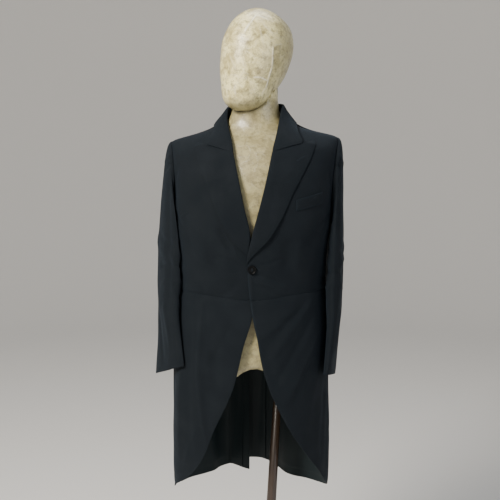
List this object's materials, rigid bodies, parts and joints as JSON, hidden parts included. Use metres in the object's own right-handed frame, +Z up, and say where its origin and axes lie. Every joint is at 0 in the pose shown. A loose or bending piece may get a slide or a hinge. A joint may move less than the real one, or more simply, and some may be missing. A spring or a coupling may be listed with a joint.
{
  "type": "morning coat on dress form stand",
  "caption": "Cutaway morning coat with peak lapels and open back vent, hanging from the shoulders of a limbless dress form with an egg-shaped head, held up by a pole on a round base.",
  "frame": {"origin": "on the floor, under the middle of the coat, inside the underside of the round base", "axes": "+Z up, the coat's front faces -Y, and the wearer's left is towards +X"},
  "size_m": [0.4765, 0.3748, 1.715],
  "materials": {
    "wool": "matt near-black worsted wool, fine weave",
    "satin": "black satin lining, soft sheen",
    "button": "dark horn-like button",
    "papier_mache": "cream varnished papier mache",
    "wood": "brown varnished wood"
  },
  "bodies": {
    "root": {"forepart_l": "wool", "forepart_r": "wool", "sidebody_l": "wool", "sidebody_r": "wool", "back_l": "wool", "back_r": "wool", "skirt_l": "wool", "skirt_r": "wool", "lining_skirt_l": "satin", "lining_skirt_r": "satin", "lining_back_l": "satin", "lining_back_r": "satin", "lapel_l": "wool", "lapel_r": "wool", "top_sleeve_l": "wool", "top_sleeve_r": "wool", "under_sleeve_l": "wool", "under_sleeve_r": "wool", "collar": "wool", "breast_welt": "wool", "front_button": "button", "back_button_l": "button", "back_button_r": "button", "form_torso": "papier_mache", "form_head": "papier_mache", "stand_pole": "wood", "stand_base": "wood"}
  },
  "joints": []
}
